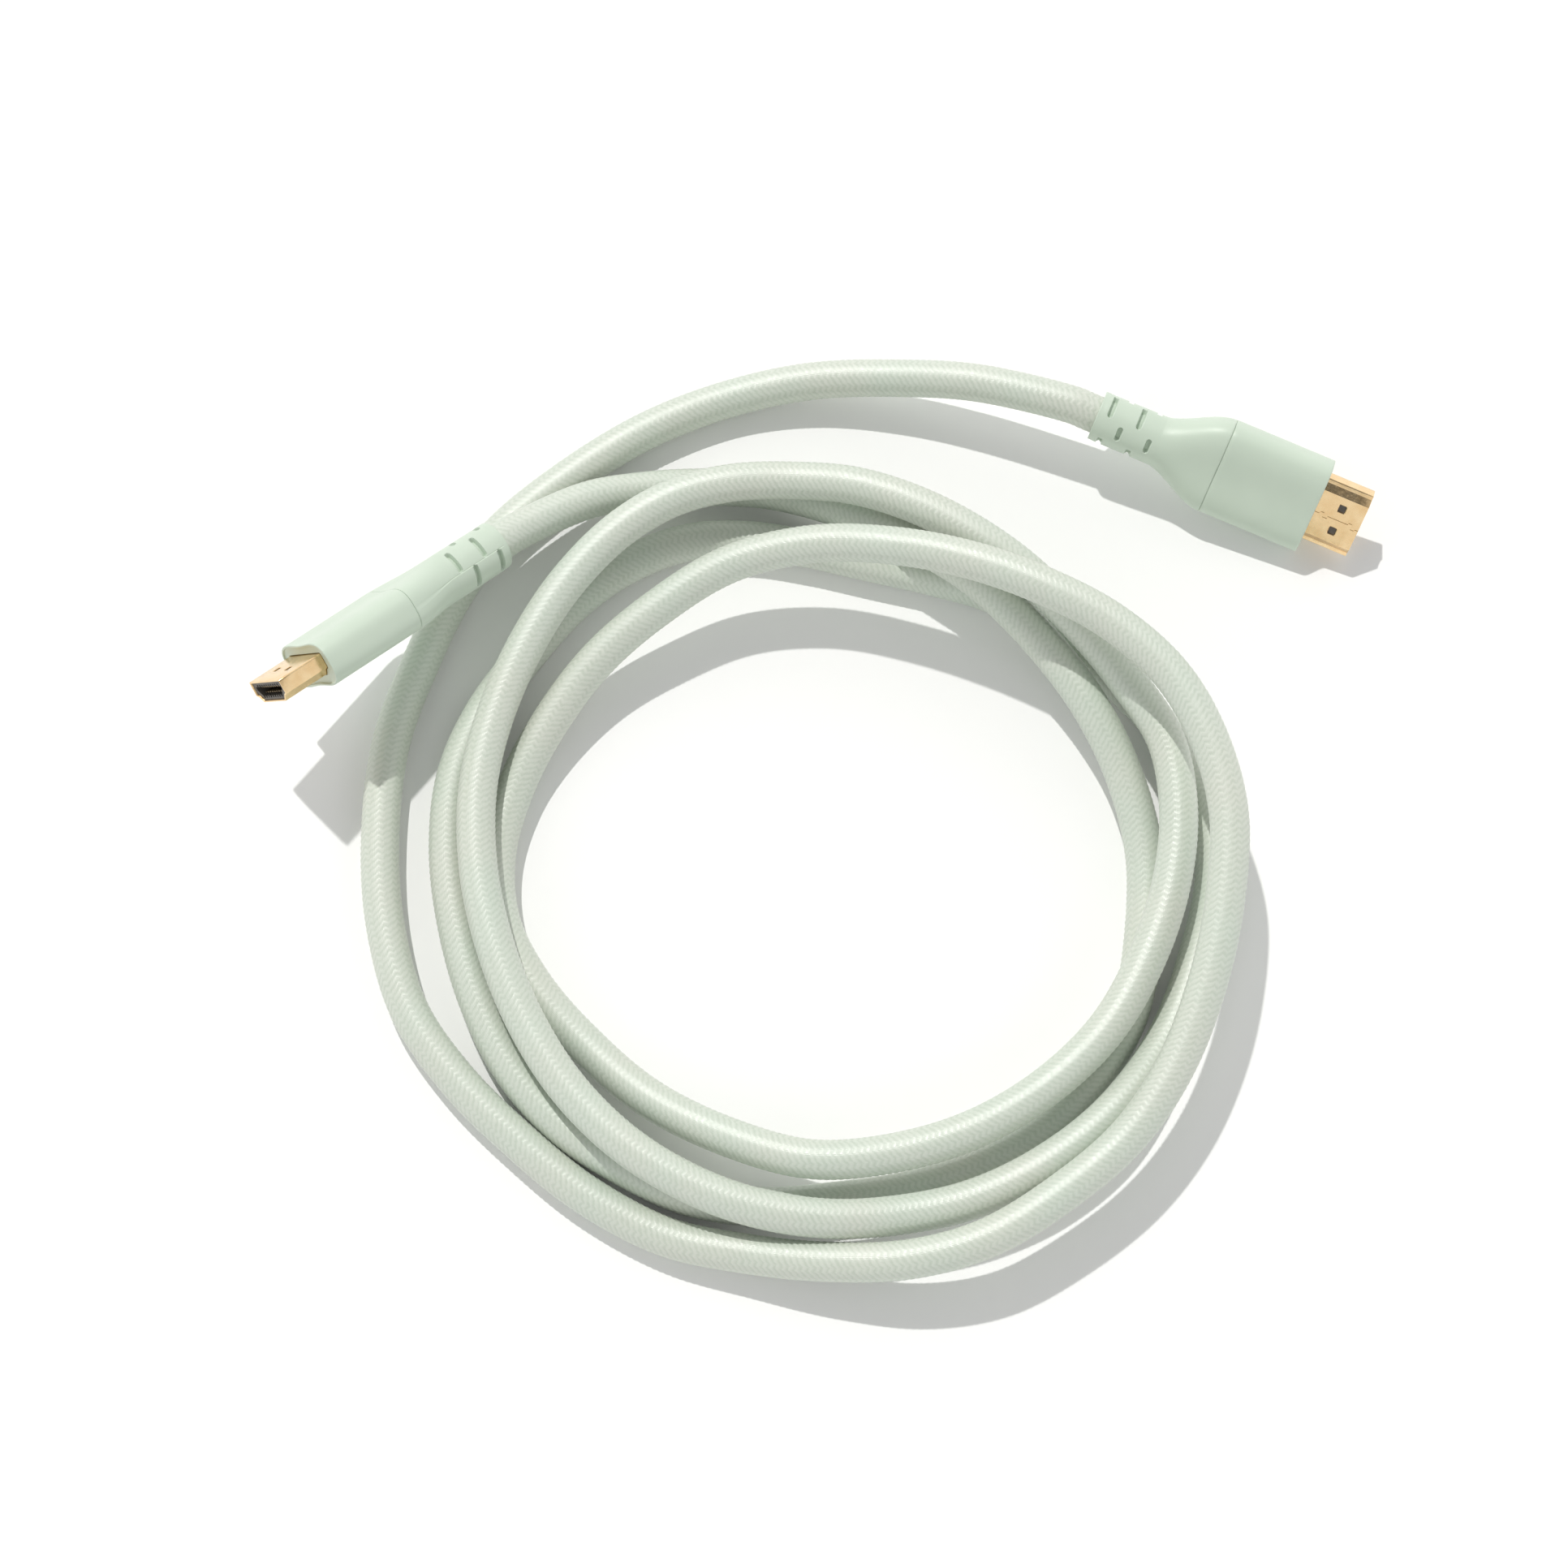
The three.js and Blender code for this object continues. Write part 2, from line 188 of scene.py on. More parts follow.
class Nodes:
    """A material's node tree, written as short calls."""

    def __init__(self, name):
        self.material = bpy.data.materials.new(name)
        self.material.use_nodes = True
        self.tree = self.material.node_tree
        self.shader = self.tree.nodes["Principled BSDF"]

    def add(self, kind, inputs=None, **settings):
        node = self.tree.nodes.new(kind)
        for key, value in settings.items():
            setattr(node, key, value)
        for key, value in (inputs or {}).items():
            self.plug_in(node, key, value)
        return node

    def plug_in(self, node, key, value):
        if isinstance(value, bpy.types.NodeSocket):
            self.tree.links.new(value, node.inputs[key])
        else:
            node.inputs[key].default_value = value

    def math(self, operation, first, second=0.0):
        return self.add("ShaderNodeMath", {0: first, 1: second}, operation=operation).outputs[0]

    def noise(self, scale, detail=2.0, vector=None):
        inputs = {"Scale": scale, "Detail": detail}
        if vector is not None:
            inputs["Vector"] = vector
        return self.add("ShaderNodeTexNoise", inputs).outputs["Fac"]

    def spread(self, value, low, high):
        """Maps noise, mostly 0.3 to 0.7, onto low to high."""
        return self.add("ShaderNodeMapRange", {0: value, 1: 0.3, 2: 0.7, 3: low, 4: high}).outputs[0]

    def mix(self, share, first, second):
        node = self.add("ShaderNodeMix", data_type="RGBA")
        self.plug_in(node, 0, share)
        self.plug_in(node, 6, first)
        self.plug_in(node, 7, second)
        return node.outputs[2]

    def place(self):
        return self.add("ShaderNodeTexCoord").outputs["Object"]

    def bump(self, height, strength, distance, normal=None):
        inputs = {"Height": height, "Strength": strength, "Distance": distance}
        if normal is not None:
            inputs["Normal"] = normal
        return self.add("ShaderNodeBump", inputs).outputs[0]

    def set(self, **inputs):
        for key, value in inputs.items():
            self.plug_in(self.shader, key.replace("_", " "), value)


def moulding_material():
    n = Nodes("moulding")
    where = n.place()
    cloud = n.spread(n.noise(90, 2, where), 0, 1)
    grain = n.noise(5200, 2, where)
    colour = n.mix(cloud, *MINT)
    n.set(Base_Color=colour, Roughness=n.spread(n.noise(2600, 3, where), 0.36, 0.47))
    n.shader.inputs["Specular IOR Level"].default_value = 0.5
    n.shader.inputs["Sheen Weight"].default_value = 0.12
    n.shader.inputs["Sheen Roughness"].default_value = 0.5
    n.set(Normal=n.bump(grain, 0.35, 0.00004))
    return n.material


def gold_material():
    n = Nodes("gold")
    where = n.place()
    stain = n.spread(n.noise(420, 4, where), 0, 1)
    rolled = n.noise(1900, 3, where)
    colour = n.mix(stain, *GOLD)
    n.set(Base_Color=colour, Roughness=n.spread(rolled, 0.17, 0.28))
    n.shader.inputs["Metallic"].default_value = 1
    n.set(Normal=n.bump(rolled, 0.35, 0.00006))
    return n.material


def contact_material():
    # The contacts' gold is darkened by painted shade; the noise only varies it at random
    n = Nodes("contact")
    wear = n.spread(n.noise(2200, 3, n.place()), 0, 1)
    n.set(Base_Color=n.mix(wear, *SHADE_DARKENED_GOLD), Roughness=n.spread(wear, 0.4, 0.5))
    n.shader.inputs["Metallic"].default_value = 1
    return n.material


def insulator_material():
    n = Nodes("insulator")
    where = n.place()
    cloud = n.spread(n.noise(700, 2, where), 0, 1)
    colour = n.mix(cloud, *CHARCOAL)
    n.set(Base_Color=colour, Roughness=n.spread(n.noise(3000, 2, where), 0.38, 0.55))
    n.set(Normal=n.bump(n.noise(6000, 2, where), 0.25, 0.00003))
    return n.material


def sleeve_material():
    """Satin threads with fine filaments along each ridge; the colour is painted lighter on the ridges, and
    painted shade darkens the valleys between them.
    """
    n = Nodes("sleeve")
    relief = n.add("ShaderNodeAttribute", attribute_name="relief").outputs["Fac"]
    weave = n.add("ShaderNodeUVMap", uv_map="weave").outputs["UV"]
    where = n.place()
    split = n.add("ShaderNodeSeparateXYZ", {0: weave})
    filament_line = n.math("ADD", n.math("MULTIPLY", split.outputs["X"], FILAMENTS),
                           n.math("MULTIPLY", n.noise(2400, 2, where), 2.2))
    filament = n.math("SINE", filament_line)
    thread = n.noise(1400, 3, where)
    cloud = n.spread(n.noise(55, 2, where), 0, 1)
    # Painted light on the ridges and painted shade in the valleys, mixed by the relief of the weave
    high = n.mix(cloud, *LIT_RIDGE)
    low = n.mix(cloud, *SHADED_VALLEY)
    uneven = n.math("ADD", relief, n.spread(thread, -0.3, 0.3))
    share = n.add("ShaderNodeMapRange", {0: uneven, 1: 0.05, 2: 0.75}).outputs[0]
    colour = n.mix(share, low, high)
    n.set(Base_Color=colour, Roughness=n.spread(thread, 0.38, 0.52))
    n.shader.inputs["IOR"].default_value = 1.9
    n.shader.inputs["Sheen Weight"].default_value = 0.2
    n.shader.inputs["Sheen Roughness"].default_value = 0.35
    ridge = n.bump(n.math("MULTIPLY", relief, relief), 0.2, 0.0001)
    fibre = n.math("ADD", n.math("MULTIPLY", filament, 0.3), thread)
    n.set(Normal=n.bump(fibre, 0.45, 0.00004, ridge))
    return n.material


moulding = moulding_material()
gold = gold_material()
shade_darkened_contact = contact_material()
black = insulator_material()
woven = sleeve_material()


# The woven cable (mm). ROW_EDGES is where a ridge starts and ends, as shares of its row's width

WEAVE_ROWS = 16
ROW_EDGES = (0.2, 0.8)
RING_STEP = 0.61
RIDGE_HEIGHT = 0.075
CORE_RADIUS = 3.64
SLANT = 0.42
PATH_POINTS = 480


def centreline(points, per_span=24):
    """A centripetal Catmull-Rom curve through the points, as the CAD cable follows."""
    curve = []
    padded = np.vstack([2 * points[0] - points[1], points, 2 * points[-1] - points[-2]])
    for p0, p1, p2, p3 in zip(padded, padded[1:], padded[2:], padded[3:]):
        d0, d1, d2 = (np.linalg.norm(b - a) ** 0.5 for a, b in ((p0, p1), (p1, p2), (p2, p3)))
        t1 = ((p1 - p0) / d0 - (p2 - p0) / (d0 + d1) + (p2 - p1) / d1) * d1
        t2 = ((p2 - p1) / d1 - (p3 - p1) / (d1 + d2) + (p3 - p2) / d2) * d1
        w = (np.arange(per_span) / per_span)[:, None]
        curve.append(p1 + t1 * w + (3 * (p2 - p1) - 2 * t1 - t2) * w ** 2
                     + (2 * (p1 - p2) + t1 + t2) * w ** 3)
    curve.append(points[-1:])
    return np.vstack(curve)


def run_length(line):
    return np.concatenate([[0], np.cumsum(np.linalg.norm(np.diff(line, axis=0), axis=1))])


def axes_across(line):
    """Two directions across a line, carried along it without twist."""
    along = np.gradient(line, axis=0)
    along /= np.linalg.norm(along, axis=1)[:, None]
    side = np.zeros_like(line)
    current = np.cross(along[0], (0, 0, 1))
    for i, direction in enumerate(along):
        current = current - direction * (current @ direction)
        current /= np.linalg.norm(current)
        side[i] = current
    return side, np.cross(along, side)


def at_length(values, lengths, wanted):
    return np.stack([np.interp(wanted, lengths, values[:, k]) for k in range(3)], axis=-1)


def cable_line():
    """The cable's centre line, from the bore of plug A to the bore of plug B."""
    on_axis = [(s, 0, 0) for s in CABLE_STATIONS]
    return centreline(np.vstack([in_frame(on_axis, PLUGS["plug_a"]) / MM,
                                 np.array(ROUTE) - FRAME_SHIFT,
                                 in_frame(on_axis[::-1], PLUGS["plug_b"]) / MM]))


def per_polygon(mesh, key):
    values = np.zeros(len(mesh.polygons), int)
    mesh.polygons.foreach_get(key, values)
    return values


def map_weave(mesh, around, along):
    """UVs in rows of the weave and millimetres, for vertices in rings of equal size."""
    corners = np.zeros(len(mesh.loops), int)
    mesh.loops.foreach_get("vertex_index", corners)
    starts, totals = per_polygon(mesh, "loop_start"), per_polygon(mesh, "loop_total")
    u = around[corners % len(around)]
    span = np.maximum.reduceat(u, starts) - np.minimum.reduceat(u, starts)
    over_join = np.repeat(span, totals) > WEAVE_ROWS / 2
    u = np.where(over_join & (u < WEAVE_ROWS / 2), u + WEAVE_ROWS, u)
    uv = np.stack([u, along[corners]], axis=1)
    mesh.uv_layers.new(name="weave").data.foreach_set("uv", uv.reshape(-1))


def build_cable():
    line = cable_line()
    lengths = run_length(line)
    side, rise = axes_across(line)

    rows = np.repeat(np.arange(WEAVE_ROWS), len(ROW_EDGES))
    within = np.tile(ROW_EDGES, WEAVE_ROWS)
    angle = (rows + within) / WEAVE_ROWS * 2 * math.pi
    way = np.where(rows % 2 == 0, 1, -1)
    slant = way * (within - 0.5) / (ROW_EDGES[1] - ROW_EDGES[0]) * SLANT

    count = int(lengths[-1] / RING_STEP)
    ring_at = np.linspace(SLANT, lengths[-1] - SLANT, count)
    at = ring_at[:, None] + slant[None, :]
    crest = ((np.arange(count)[:, None] + (rows % 2)[None, :]) % 2).astype(float)
    radius = CORE_RADIUS + RIDGE_HEIGHT * (2 * crest - 1)
    centre = at_length(line, lengths, at)
    outward = (at_length(side, lengths, at) * np.cos(angle)[None, :, None]
               + at_length(rise, lengths, at) * np.sin(angle)[None, :, None])
    outward /= np.linalg.norm(outward, axis=2)[:, :, None]
    vertices = (centre + outward * radius[:, :, None]).reshape(-1, 3) * MM
    sides = len(angle)

    piece = new_piece("sleeve_cable", vertices, ring_faces(count, sides), woven,
                      ["cable"], sharp=None)
    relief = piece.data.attributes.new("relief", "FLOAT", "POINT")
    relief.data.foreach_set("value", crest.reshape(-1))
    map_weave(piece.data, rows + within, at.reshape(-1))

    path = (at_length(line, lengths, np.linspace(0, lengths[-1], PATH_POINTS)) * MM).tolist()
    return piece, path, lengths[-1] * MM


# Plug bodies and hoods (mm)

BODY_LENGTH = 25.5
HOOD_LENGTH = 20.5
HOOD_FRONT = BODY_LENGTH + HOOD_LENGTH
HOOD_WIDTH = 19.5
HOOD_HEIGHT = 10.5
HOOD_DISH = 0.9
HOOD_SQUARENESS = 2.9
BOOT_LENGTH = 12.9
BOOT_END_RADIUS = 4.9
BOOT_ROOT_RADIUS = 4.975
BORE_DEPTH = 3
BORE_CLEARANCE = 0.12
JOINT_GAP = 0.02
FACE_INSET = 2.5
SWELL_HEAD_START = 0.12
AROUND = 256
TURNS = np.arange(AROUND) / AROUND * 2 * math.pi

# Relief slots: rings of them along the boot, and in a ring each slot's middle and arc in degrees.
# Every other ring is half a turn on. The wall's start and end are measured from the half width
SLOT_RINGS = [2.3 + 3 * ring for ring in range(4)]
SLOT_ARCS = [(31, 60), (149, 60), (270, 34)]
SLOT_HALF_WIDTH = 0.475
SLOT_DEPTH = 1.0
SLOT_WALL = (-0.07, 0.05)

# The mould's parting line: half its groove in degrees, the groove's depth and the step across it
PARTING_HALF_ARC = 1.0
PARTING_GROOVE = 0.12
PARTING_STEP = 0.06

# Rounded edges, ring by ring: distance from the side, then from the face
BORE_EDGE = [(0, 0.35), (0.06, 0.1), (0.2, 0)]
BOOT_EDGE = [(0.14, 0), (0.06, 0.03), (0.015, 0.09)]
JOINT_EDGE = [(0.05, 0.06), (0.16, 0)]
EDGE_REACH = 0.16

# Rings along the boot, by their spacing, and along the swelling part and the hood, by their number
FINE_STEP = 0.12
SWELL_RINGS = 44
HOOD_RINGS = 24


def bulge(value, squareness):
    return np.sign(value) * np.abs(value) ** (2 / squareness)


def outline(half_width, half_height, squareness, dish):
    """A section of the moulded piece, as width and height for each turn."""
    across = bulge(np.cos(TURNS), squareness)
    waist = dish * np.cos(across * math.pi / 2) ** 2
    up = bulge(np.sin(TURNS), squareness) * (half_height - waist)
    return np.stack([across * half_width, up], axis=1)


def hood_outline():
    return outline(HOOD_WIDTH / 2, HOOD_HEIGHT / 2, HOOD_SQUARENESS, HOOD_DISH)


def body_outline(at):
    if at <= BOOT_LENGTH:
        radius = np.interp(at, [0, BOOT_LENGTH], [BOOT_END_RADIUS, BOOT_ROOT_RADIUS])
        return outline(radius, radius, 2, 0)
    share = (at - BOOT_LENGTH) / (BODY_LENGTH - BOOT_LENGTH)
    blend = float(smooth(share, 0, 1))
    start = float(smooth(0, -SWELL_HEAD_START, 1))
    swell = (float(smooth(share, -SWELL_HEAD_START, 1)) - start) / (1 - start)
    half_width = BOOT_ROOT_RADIUS + (HOOD_WIDTH / 2 - BOOT_ROOT_RADIUS) * swell
    half_height = BOOT_ROOT_RADIUS + (HOOD_HEIGHT / 2 - BOOT_ROOT_RADIUS) * blend
    return outline(half_width, half_height, 2 + (HOOD_SQUARENESS - 2) * blend, HOOD_DISH * blend)


def inset(section, distance):
    """Moves a closed section inwards by a distance."""
    along = np.roll(section, -1, axis=0) - np.roll(section, 1, axis=0)
    along /= np.linalg.norm(along, axis=1)[:, None]
    return section + np.stack([-along[:, 1], along[:, 0]], axis=1) * distance


def lift(section, at):
    """A section at one station of the plug."""
    return np.column_stack([np.full(len(section), at), section])


def circle(radius):
    return np.stack([np.cos(TURNS), np.sin(TURNS)], axis=1) * radius


def slot_depth(at, radius):
    """How deep the relief slots are at a station, for each turn."""
    depth = np.zeros(AROUND)
    degrees = np.degrees(TURNS)
    for ring, middle_at in enumerate(SLOT_RINGS):
        if abs(at - middle_at) > SLOT_HALF_WIDTH * 2:
            continue
        for middle, arc in SLOT_ARCS:
            turned = middle + 180 * (ring % 2)
            offset = (degrees - turned + 180) % 360 - 180
            reach = math.radians(arc / 2) * radius - SLOT_HALF_WIDTH
            sideways = np.maximum(np.abs(np.radians(offset)) * radius - reach, 0)
            distance = np.hypot(sideways, at - middle_at)
            hollow = 1 - smooth(distance, SLOT_HALF_WIDTH + SLOT_WALL[0], SLOT_HALF_WIDTH + SLOT_WALL[1])
            depth = np.maximum(depth, hollow * SLOT_DEPTH)
    return depth


def parting(at):
    """The mould's parting line along both sides: a hair of a groove, with the upper half proud."""
    side = np.abs((np.degrees(TURNS) + 90) % 180 - 90)
    groove = PARTING_GROOVE * (side < PARTING_HALF_ARC)
    proud = PARTING_STEP * np.sign(np.sin(TURNS)) * (side > PARTING_HALF_ARC)
    fade = float(smooth(at, 0.5, 1.5))
    return (groove - proud) * fade


def body_skin(name, plug):
    hole = CABLE_DIAMETER / 2 + BORE_CLEARANCE
    rings = [lift(circle(hole), BORE_DEPTH)]
    rings += [lift(circle(hole + outwards), at) for outwards, at in BORE_EDGE]
    rings += [lift(circle(BOOT_END_RADIUS - inwards), at) for inwards, at in BOOT_EDGE]
    fine = np.arange(EDGE_REACH, BOOT_LENGTH, FINE_STEP)
    coarse = np.linspace(BOOT_LENGTH, BODY_LENGTH - EDGE_REACH, SWELL_RINGS)
    for at in np.concatenate([fine, coarse]):
        section = body_outline(at)
        radius = np.linalg.norm(section, axis=1)
        reach = radius - slot_depth(at, float(radius.mean())) - parting(at)
        rings.append(lift(section * (reach / radius)[:, None], at))
    close = body_outline(BODY_LENGTH)
    rings += [lift(inset(close, inwards), BODY_LENGTH - back) for inwards, back in JOINT_EDGE]
    rings.append(lift(inset(close, FACE_INSET), BODY_LENGTH))
    vertices = in_frame(np.vstack(rings), plug)
    return new_piece(f"{name}_body_skin", vertices, ring_faces(len(rings), AROUND),
                     moulding, [f"{name}_body"], sharp=50)


# Metal shell (mm)

SHELL_HALF_WIDTH = 6.95
SHELL_HALF_HEIGHT = 2.225
SHELL_CHAMFER = 2.05
SHELL_WALL = 0.35
SHELL_TIP = HOOD_FRONT + 9.4
SHELL_BACK = HOOD_FRONT - 3

# Half of its outline, from the wide face to the narrow face, as across, up and radius
SHELL_CORNERS = [
    (SHELL_HALF_WIDTH, -SHELL_HALF_HEIGHT, 0.45),
    (SHELL_HALF_WIDTH, 0.86, 0.3),
    (6.1, 1.03, 0.12),
    (4.9, SHELL_HALF_HEIGHT, 0.25),
]


def rounded(corners, steps=5):
    """A closed outline with each corner (y, z, radius) rounded."""
    points = []
    count = len(corners)
    for i, (y, z, radius) in enumerate(corners):
        here = np.array([y, z])
        before = np.array(corners[i - 1][:2]) - here
        after = np.array(corners[(i + 1) % count][:2]) - here
        before /= np.linalg.norm(before)
        after /= np.linalg.norm(after)
        half = math.acos(np.clip(before @ after, -1, 1)) / 2
        reach = radius / math.tan(half)
        start, end = here + before * reach, here + after * reach
        for k in range(steps + 1):
            w = k / steps
            points.append((1 - w) ** 2 * start + 2 * w * (1 - w) * here + w ** 2 * end)
    return np.array(points)


def shell_outline(wall=0.0):
    """The shell's closed outline, anticlockwise from the front, moved inwards by wall."""
    right = SHELL_CORNERS
    left = [(-y, z, r) for y, z, r in reversed(SHELL_CORNERS)]
    section = rounded(right + left)
    return inset(section, wall) if wall else section


def outline_towards(section, directions):
    """Where a closed outline round the axis lies in each of the directions."""
    wanted = np.arctan2(directions[:, 1], directions[:, 0])
    dense = []
    for a, b in zip(section, np.roll(section, -1, axis=0)):
        steps = max(2, int(np.linalg.norm(b - a) / 0.01))
        dense.append(a + (b - a) * (np.arange(steps) / steps)[:, None])
    dense = np.vstack(dense)
    angles = np.arctan2(dense[:, 1], dense[:, 0])
    order = np.argsort(angles)
    radius = np.interp(wanted, angles[order], np.linalg.norm(dense[order], axis=1), period=2 * math.pi)
    return np.stack([np.cos(wanted), np.sin(wanted)], axis=1) * radius[:, None]


# The hood's front: a narrow rim, with the face a step behind it
RIM_WIDTH = 0.4
RIM_STEP = 0.35
RIM_EDGE = [(0.03, 0.1), (0.1, 0.03), (0.2, 0), (RIM_WIDTH, 0), (RIM_WIDTH + 0.08, 0.05)]
RIM_FOOT = [(RIM_WIDTH + 0.12, 0.05), (RIM_WIDTH + 0.2, 0)]
SHELL_CLEARANCE = 0.14


def hood_skin(name, plug):
    grip = hood_outline()
    mouth = outline_towards(inset(shell_outline(), -SHELL_CLEARANCE), grip)
    back = BODY_LENGTH + JOINT_GAP
    face = HOOD_FRONT - RIM_STEP
    inner = inset(grip, 1.2)
    rings = [lift(inset(grip, FACE_INSET), back)]
    rings += [lift(inset(grip, inwards), back + ahead) for inwards, ahead in reversed(JOINT_EDGE)]
    rings += [lift(grip, at) for at in np.linspace(back + EDGE_REACH, HOOD_FRONT - 0.25, HOOD_RINGS)]
    rings += [lift(inset(grip, inwards), HOOD_FRONT - behind) for inwards, behind in RIM_EDGE]
    rings += [lift(inset(grip, inwards), face + ahead) for inwards, ahead in RIM_FOOT]
    rings += [lift(mouth + (inner - mouth) * share, face) for share in (0.5, 0.04)]
    rings += [lift(mouth, face - 0.06), lift(mouth, SHELL_BACK - 0.3)]
    vertices = in_frame(np.vstack(rings), plug)
    return new_piece(f"{name}_hood_skin", vertices, ring_faces(len(rings), AROUND),
                     moulding, [f"{name}_hood"], sharp=40)


# Latch holes: size and place, and their chamfer as height above the face and size there
LATCH_SIZE = 1.5
LATCH_CORNER = 0.22
LATCH_SPACING = 5.0
LATCH_AT = SHELL_TIP - 4.6
LATCH_LEVELS = ((0.6, 2.7), (0, 1.72), (-0.1, LATCH_SIZE), (-0.6, LATCH_SIZE))

# The folded seam down the narrow face: back from the tip, and across, with a dovetail at each end
SEAM = [
    (-0.5, -0.45), (0.7, -0.45), (0.9, -0.75), (1.5, -0.75), (1.5, 0.35), (2.4, 0.35), (2.4, 0),
    (6.6, 0), (6.6, -0.5), (7.4, -0.5), (7.4, 0.45), (8.1, 0.45), (8.4, 0), (10.5, 0),
]
SEAM_HALF_WIDTH = 0.08
SEAM_DEPTH = 0.15
MITRE_LIMIT = 0.35

# The shell's lip: in from its outside, and back from the tip
LIP_EDGE = [(0.05, 0.03), (0.13, 0), (SHELL_WALL - 0.13, 0), (SHELL_WALL - 0.05, 0.04), (SHELL_WALL, 0.16)]


def prism(sections, faces_between):
    """A closed solid from stacked closed sections, each an array of points."""
    mesh = bpy.data.meshes.new("cutter")
    mesh.from_pydata(np.vstack(sections).tolist(), [], faces_between)
    cutter = bpy.data.objects.new("cutter", mesh)
    bpy.context.scene.collection.objects.link(cutter)
    work = bmesh.new()
    work.from_mesh(mesh)
    bmesh.ops.recalc_face_normals(work, faces=work.faces)
    work.to_mesh(mesh)
    work.free()
    return cutter


def latch_cutters(plug):
    """A rounded square hole with a soft chamfer, through the wide and the narrow face."""
    cutters = []
    for side in (-1, 1):
        for face in (-1, 1):
            sections = []
            for height, size in LATCH_LEVELS:
                half = size / 2
                corners = ((half, -half), (half, half), (-half, half), (-half, -half))
                square = rounded([(x, y, LATCH_CORNER) for x, y in corners], steps=4)
                z = face * (SHELL_HALF_HEIGHT + height)
                sections.append(np.column_stack([square[:, 0] + LATCH_AT,
                                                 square[:, 1] + side * LATCH_SPACING / 2,
                                                 np.full(len(square), z)]))
            sides = len(sections[0])
            placed = [in_frame(section, plug) for section in sections]
            cutters.append(prism(placed, ring_faces(len(sections), sides)))
    return cutters


def seam_cutter(plug):
    line = np.array([(SHELL_TIP - back, y) for back, y in SEAM])
    left, right = [], []
    for i, point in enumerate(line):
        before = point - line[i - 1] if i else line[1] - point
        after = line[i + 1] - point if i + 1 < len(line) else before
        before = before / np.linalg.norm(before)
        after = after / np.linalg.norm(after)
        normal = np.array([-(before + after)[1], (before + after)[0]])
        normal /= np.linalg.norm(normal)
        cosine = float(normal @ np.array([-before[1], before[0]]))
        mitre = SEAM_HALF_WIDTH / max(MITRE_LIMIT, cosine)
        left.append(point + normal * mitre)
        right.append(point - normal * mitre)
    loop = np.array(left + right[::-1])
    top, bottom = SHELL_HALF_HEIGHT + 0.3, SHELL_HALF_HEIGHT - SEAM_DEPTH
    sections = [in_frame(np.column_stack([loop, np.full(len(loop), z)]), plug) for z in (bottom, top)]
    return prism(sections, ring_faces(2, len(loop)))


def subtract(piece, cutters):
    for cutter in cutters:
        modifier = piece.modifiers.new("cut", "BOOLEAN")
        modifier.operation = "DIFFERENCE"
        modifier.solver = "EXACT"
        modifier.object = cutter
    graph = bpy.context.evaluated_depsgraph_get()
    result = bpy.data.meshes.new_from_object(piece.evaluated_get(graph))
    piece.modifiers.clear()
    piece.data = result
    for cutter in cutters:
        bpy.data.objects.remove(cutter)


def shell_skin(name, plug):
    outer = shell_outline()
    rings = [lift(outer, SHELL_BACK)]
    rings += [lift(outer, at) for at in np.linspace(SHELL_BACK + 0.4, SHELL_TIP - 0.14, 6)]
    rings += [lift(shell_outline(inwards), SHELL_TIP - back) for inwards, back in LIP_EDGE]
    rings.append(lift(shell_outline(SHELL_WALL), SHELL_BACK))
    sides = len(outer)
    faces = ring_faces(len(rings), sides, cap_start=False, cap_end=False)
    last = (len(rings) - 1) * sides
    faces += [(i, (i + 1) % sides, last + (i + 1) % sides, last + i) for i in range(sides)]
    piece = prism([in_frame(ring, plug) for ring in rings], faces)
    piece.name = piece.data.name = f"{name}_shell_skin"
    subtract(piece, latch_cutters(plug) + [seam_cutter(plug)])
    finish_piece(piece, gold, [f"{name}_shell"], sharp=32)
    return piece


# Insulator: the black block with its slot and the grooves behind the contacts

INSULATOR_SETBACK = 0.3
SOCKET_DEPTH = 7
SOCKET_INSET = 1.25
GROOVE_WIDTH = 0.56
GROOVE_RISE = 0.42
CONTACT_PITCH = 1.0

# Contacts in each row, with the side that the row is on
CONTACT_ROWS = ((10, -1), (9, 1))


def comb_outline():
    """The slot's outline with a groove for each contact, on its wide side and its narrow side."""
    half_height = SHELL_HALF_HEIGHT - SOCKET_INSET
    # Width and height have this sum all along the slanted wall
    slanted = SHELL_HALF_WIDTH + SHELL_HALF_HEIGHT - SHELL_CHAMFER - SOCKET_INSET * math.sqrt(2)
    half_width = SHELL_HALF_WIDTH - SOCKET_INSET
    points = [(-half_width, -half_height)]
    for count, side in CONTACT_ROWS:
        middles = [(i - (count - 1) / 2) * CONTACT_PITCH for i in range(count)]
        if side > 0:
            points += [(half_width, -half_height), (half_width, slanted - half_width),
                       (slanted - half_height, half_height)]
            middles = middles[::-1]
        for middle in middles:
            near, far = middle + side * GROOVE_WIDTH / 2, middle - side * GROOVE_WIDTH / 2
            low, high = side * half_height, side * (half_height + GROOVE_RISE)
            points += [(near, low), (near, high), (far, high), (far, low)]
    points += [(half_height - slanted, half_height), (-half_width, slanted - half_width)]
    return np.array(points)


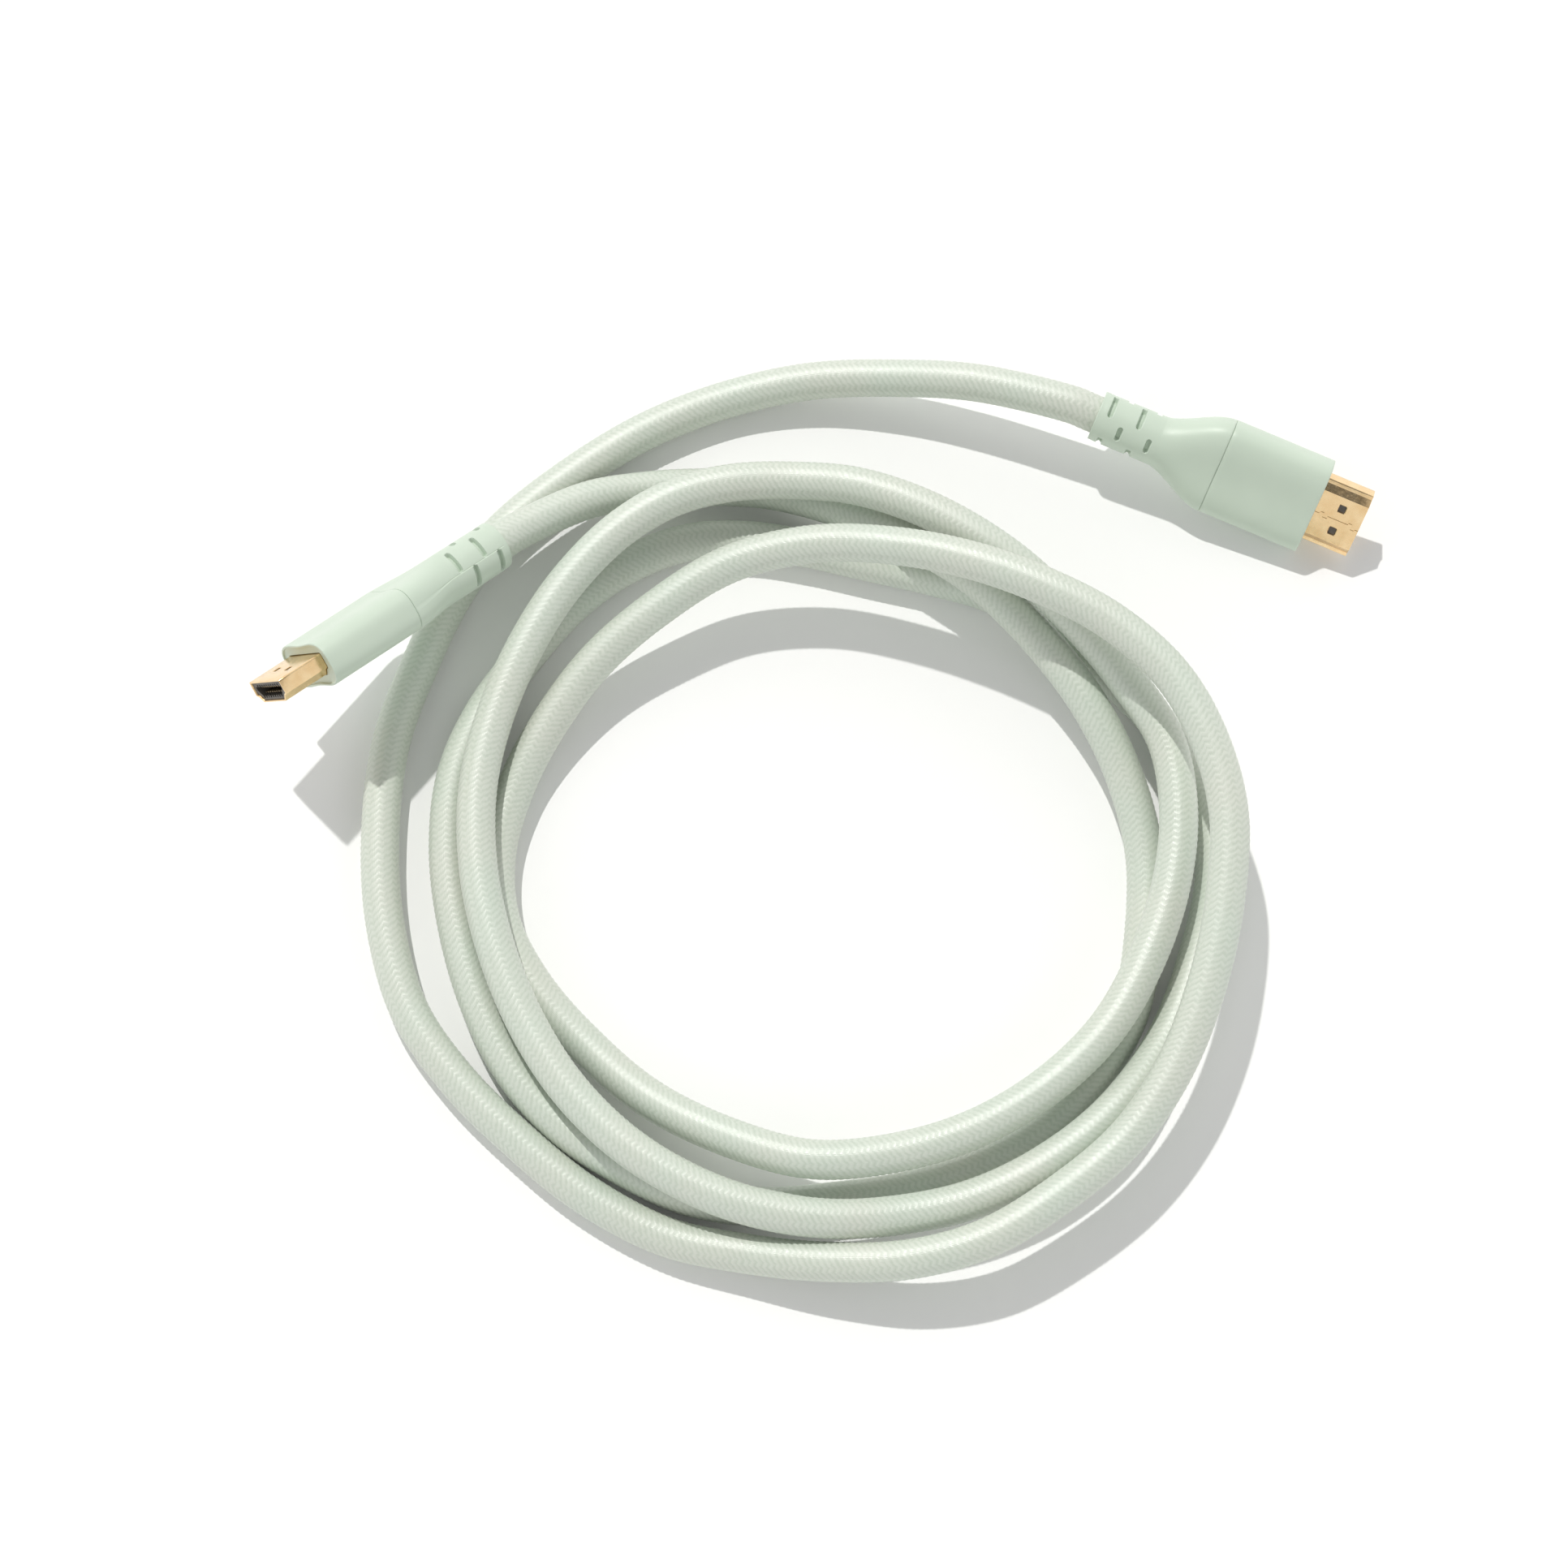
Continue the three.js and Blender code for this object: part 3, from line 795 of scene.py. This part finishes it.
def insulator_skin(name, plug):
    front = SHELL_TIP - INSULATOR_SETBACK
    outer = shell_outline(SHELL_WALL + 0.03)
    comb = comb_outline()
    floor = front - SOCKET_DEPTH
    rings = [lift(outer, SHELL_BACK), lift(outer, front - 0.08), lift(inset(outer, 0.08), front),
             lift(comb, front), lift(comb, floor)]
    starts = np.cumsum([0] + [len(ring) for ring in rings])
    faces = ring_faces(3, len(outer), cap_end=False)
    lower = ring_faces(2, len(comb), cap_start=False)
    faces += [tuple(index + int(starts[3]) for index in face) for face in lower]
    loops = [[Vector((y, z, 0)) for _, y, z in rings[k]] for k in (2, 3)]
    offset = [int(starts[k]) + i for k in (2, 3) for i in range(len(rings[k]))]
    faces += [tuple(offset[i] for i in triangle) for triangle in tessellate_polygon(loops)]
    vertices = in_frame(np.vstack(rings), plug)
    return new_piece(f"{name}_insulator_skin", vertices, faces, black,
                     [f"{name}_insulator"], sharp=30)


cable, cable_path, cable_length = build_cable()
for plug_name, plug_pose in PLUGS.items():
    [maker(plug_name, plug_pose)
                              for maker in (body_skin, hood_skin, shell_skin, insulator_skin)]
contacts = {name: node for name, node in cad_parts.items() if "_contact_" in name}
# The contacts get the gold that is darkened by painted shade
for node in contacts.values():
    node.data.materials.clear()
    node.data.materials.append(shade_darkened_contact)


# Floor, light and sky (metres, watts per square metre, degrees)

FLOOR_HALF = 2.5
SUN_ENERGY = 1.85
SUN_ANGLE = 1.3
SUN_COLOUR = (1.0, 0.985, 0.96)
SUN_DIRECTION = (0.25, -0.6, -1)
SKY_STRENGTH = 0.88

# The sky's brightness against the height that one looks at, 0 level and 1 overhead
SKY_LOW = (0.70, (1.0, 1.0, 0.99, 1))
SKY_HIGH = (0.92, (0.15, 0.155, 0.16, 1))


def floor_material():
    n = Nodes("floor")
    cloud = n.spread(n.noise(3, 2, n.place()), 0, 1)
    rough = n.spread(n.noise(400, 2, n.place()), 0.85, 0.95)
    n.set(Base_Color=n.mix(cloud, *PAPER), Roughness=rough)
    return n.material


def build_floor():
    half = FLOOR_HALF
    mesh = bpy.data.meshes.new("floor")
    mesh.from_pydata([(-half, -half, 0), (half, -half, 0), (half, half, 0), (-half, half, 0)], [],
                     [(0, 1, 2, 3)])
    floor = bpy.data.objects.new("floor", mesh)
    mesh.materials.append(floor_material())
    bpy.context.scene.collection.objects.link(floor)


def build_sun():
    sun = bpy.data.objects.new("sun", bpy.data.lights.new("sun", "SUN"))
    bpy.context.scene.collection.objects.link(sun)
    sun.data.energy = SUN_ENERGY
    sun.data.angle = math.radians(SUN_ANGLE)
    sun.data.color = SUN_COLOUR
    sun.rotation_euler = Vector(SUN_DIRECTION).to_track_quat("-Z", "Y").to_euler()


def build_sky():
    world = bpy.data.worlds.new("sky")
    world.use_nodes = True
    bpy.context.scene.world = world
    sky = world.node_tree
    background = sky.nodes["Background"]
    direction = sky.nodes.new("ShaderNodeTexCoord")
    height = sky.nodes.new("ShaderNodeSeparateXYZ")
    ramp = sky.nodes.new("ShaderNodeValToRGB")
    sky.links.new(direction.outputs["Generated"], height.inputs[0])
    sky.links.new(height.outputs["Z"], ramp.inputs[0])
    sky.links.new(ramp.outputs[0], background.inputs["Color"])
    for element, (position, colour) in zip(ramp.color_ramp.elements, (SKY_LOW, SKY_HIGH)):
        element.position = position
        element.color = colour
    background.inputs["Strength"].default_value = SKY_STRENGTH


build_floor()
build_sun()
build_sky()
bpy.context.scene.view_settings.view_transform = "Standard"
